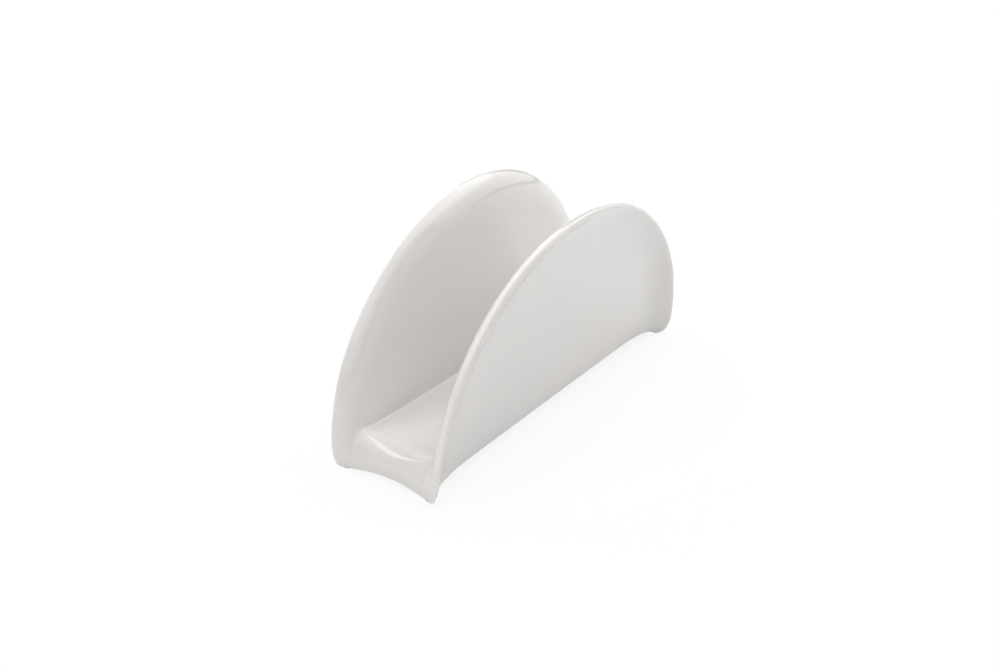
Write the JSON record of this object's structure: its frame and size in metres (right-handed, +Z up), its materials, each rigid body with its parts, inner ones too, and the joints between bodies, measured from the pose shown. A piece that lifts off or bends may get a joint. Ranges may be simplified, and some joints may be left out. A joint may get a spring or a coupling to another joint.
{
  "type": "napkin holder",
  "caption": "Upright napkin holder of white glazed porcelain: twin half-oval leaves with rolled, outward-flared rims on a raised deck that turns down to corner feet.",
  "frame": {"origin": "centre of the footprint, on the table that the four feet stand on", "axes": "+X along the leaves, to the right when the front leaf faces the viewer; +Y from the front leaf to the back leaf; +Z up"},
  "size_m": [0.13, 0.041, 0.065],
  "materials": {
    "glazed_porcelain": "clear glossy glaze over white body",
    "bare_porcelain": "matt, unglazed"
  },
  "bodies": {
    "root": {"front_leaf": "glazed_porcelain", "back_leaf": "glazed_porcelain", "deck": "glazed_porcelain", "left_apron": "glazed_porcelain", "right_apron": "glazed_porcelain", "foot_patches": "bare_porcelain"}
  },
  "joints": []
}
